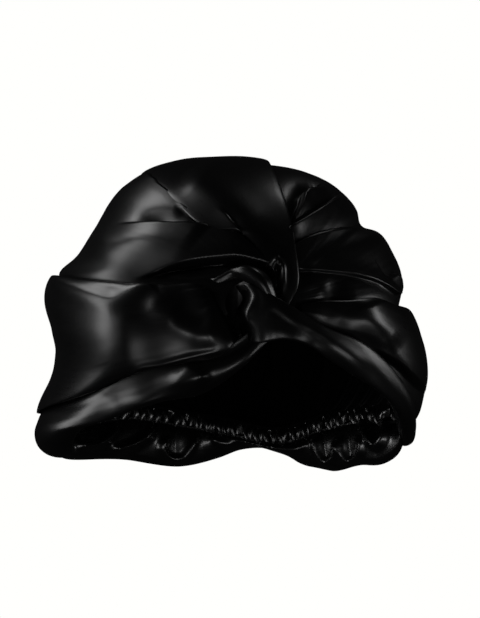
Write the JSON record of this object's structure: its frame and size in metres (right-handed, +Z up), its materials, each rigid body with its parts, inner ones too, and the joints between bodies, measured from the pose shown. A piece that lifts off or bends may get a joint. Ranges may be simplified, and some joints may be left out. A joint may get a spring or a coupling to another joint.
{
  "type": "pre-tied satin head wrap",
  "caption": "Pre-tied turban-style satin sleep wrap: a pleated bag with bands crossed in a knot at the front, an arched face opening, and gathered elastic with a frill at the nape",
  "frame": {"origin": "head_seat: the point inside the hollow, under the top of the crown, where the wearer's head bears", "axes": "+X to the right as seen from the front (the wearer's left), +Y to the back of the head, +Z up; the face opening looks along -Y"},
  "size_m": [0.2671, 0.244, 0.2165],
  "materials": {
    "crown_satin": "black silk satin with a broad soft sheen",
    "band_satin": "black silk satin with a broad soft sheen",
    "elastic_casing": "black satin in fine gathers over elastic",
    "frill_satin": "black satin frill"
  },
  "bodies": {
    "root": {"crown": "crown_satin", "centre_strap": "band_satin", "left_band": "band_satin", "left_brim": "band_satin", "right_band": "band_satin", "crossing_band": "band_satin", "knot_roll": "band_satin", "nape_elastic": "elastic_casing", "nape_ruffle": "frill_satin"}
  },
  "joints": []
}
